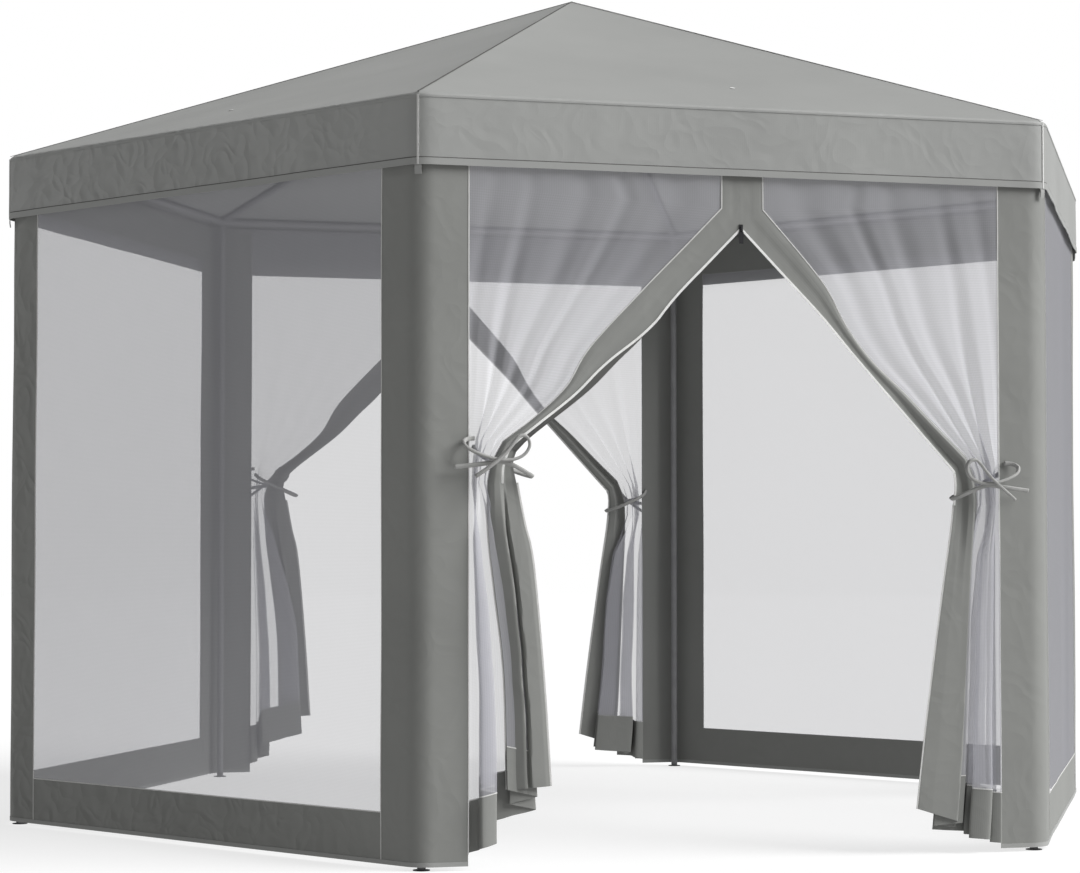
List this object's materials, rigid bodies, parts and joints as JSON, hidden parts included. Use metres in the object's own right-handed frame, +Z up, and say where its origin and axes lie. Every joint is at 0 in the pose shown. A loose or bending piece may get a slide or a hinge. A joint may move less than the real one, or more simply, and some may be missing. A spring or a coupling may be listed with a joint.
{
  "type": "screen house",
  "caption": "Six-sided garden screen house: steel tube frame, peaked cloth roof with a valance, net walls and two zipped doors tied back.",
  "frame": {"origin": "on the ground, straight under the roof's peak", "axes": "+Z is up, -Y goes out through the front door and +X goes to the right seen from in front of it"},
  "size_m": [3.96, 3.5496, 2.857],
  "materials": {
    "steel_tube": "satin powder coat",
    "foot_nylon": "moulded",
    "roof_cloth": "coated polyester",
    "wall_cloth": "coated polyester",
    "insect_net": "knitted polyester net",
    "strap_tape": "folded polyester",
    "zip_metal": "lacquered zinc"
  },
  "bodies": {
    "root": {"lower_leg_left": "steel_tube", "upper_leg_left": "steel_tube", "foot_left": "foot_nylon", "corner_connector_left": "steel_tube", "roof_tube_left": "steel_tube", "lower_leg_front_left": "steel_tube", "upper_leg_front_left": "steel_tube", "foot_front_left": "foot_nylon", "corner_connector_front_left": "steel_tube", "roof_tube_front_left": "steel_tube", "lower_leg_front_right": "steel_tube", "upper_leg_front_right": "steel_tube", "foot_front_right": "foot_nylon", "corner_connector_front_right": "steel_tube", "roof_tube_front_right": "steel_tube", "lower_leg_right": "steel_tube", "upper_leg_right": "steel_tube", "foot_right": "foot_nylon", "corner_connector_right": "steel_tube", "roof_tube_right": "steel_tube", "lower_leg_rear_right": "steel_tube", "upper_leg_rear_right": "steel_tube", "foot_rear_right": "foot_nylon", "corner_connector_rear_right": "steel_tube", "roof_tube_rear_right": "steel_tube", "lower_leg_rear_left": "steel_tube", "upper_leg_rear_left": "steel_tube", "foot_rear_left": "foot_nylon", "corner_connector_rear_left": "steel_tube", "roof_tube_rear_left": "steel_tube", "eave_tube_1": "steel_tube", "eave_tube_2": "steel_tube", "eave_tube_3": "steel_tube", "eave_tube_4": "steel_tube", "eave_tube_5": "steel_tube", "eave_tube_6": "steel_tube", "peak_hub": "steel_tube", "roof_canopy": "roof_cloth", "net_wall_rear_right": "insect_net", "net_wall_rear_left": "insect_net", "net_wall_front_left": "insect_net", "net_wall_front_right": "insect_net", "door_wall_front": "wall_cloth", "strap_front_right_a": "strap_tape", "strap_front_right_b": "strap_tape", "strap_front_left_a": "strap_tape", "strap_front_left_b": "strap_tape", "door_wall_rear": "wall_cloth", "strap_rear_right_a": "strap_tape", "strap_rear_right_b": "strap_tape", "strap_rear_left_a": "strap_tape", "strap_rear_left_b": "strap_tape"},
    "front_zip_slider": {"zip_slider_front": "zip_metal"},
    "front_zip_pull": {"zip_pull_front": "zip_metal"},
    "front_right_tail": {"door_tail_front_right": "wall_cloth"},
    "front_left_tail": {"door_tail_front_left": "wall_cloth"},
    "rear_zip_slider": {"zip_slider_rear": "zip_metal"},
    "rear_zip_pull": {"zip_pull_rear": "zip_metal"},
    "rear_right_tail": {"door_tail_rear_right": "wall_cloth"},
    "rear_left_tail": {"door_tail_rear_left": "wall_cloth"}
  },
  "joints": [
    {"name": "front_zip_slide", "type": "slide", "parent": "root", "child": "front_zip_slider", "axis": [0, 0, 1], "range_m": [0, 0.11]},
    {"name": "front_pull_hinge", "type": "hinge", "parent": "front_zip_slider", "child": "front_zip_pull", "pos_m": [0, -1.70624, 1.8584], "axis": [-1, 0, 0], "range_deg": [0, 130]},
    {"name": "front_right_tail_swing", "type": "hinge", "parent": "root", "child": "front_right_tail", "pos_m": [0.785, -1.70114, 1.048], "axis": [-1, 0, 0], "range_deg": [-12, 12]},
    {"name": "front_left_tail_swing", "type": "hinge", "parent": "root", "child": "front_left_tail", "pos_m": [-0.755, -1.70114, 1.106], "axis": [-1, 0, 0], "range_deg": [-12, 12]},
    {"name": "rear_zip_slide", "type": "slide", "parent": "root", "child": "rear_zip_slider", "axis": [0, 0, 1], "range_m": [0, 0.11]},
    {"name": "rear_pull_hinge", "type": "hinge", "parent": "rear_zip_slider", "child": "rear_zip_pull", "pos_m": [0, 1.70624, 1.8584], "axis": [1, 0, 0], "range_deg": [0, 130]},
    {"name": "rear_right_tail_swing", "type": "hinge", "parent": "root", "child": "rear_right_tail", "pos_m": [0.785, 1.70114, 1.048], "axis": [1, 0, 0], "range_deg": [-12, 12]},
    {"name": "rear_left_tail_swing", "type": "hinge", "parent": "root", "child": "rear_left_tail", "pos_m": [-0.755, 1.70114, 1.106], "axis": [1, 0, 0], "range_deg": [-12, 12]}
  ]
}
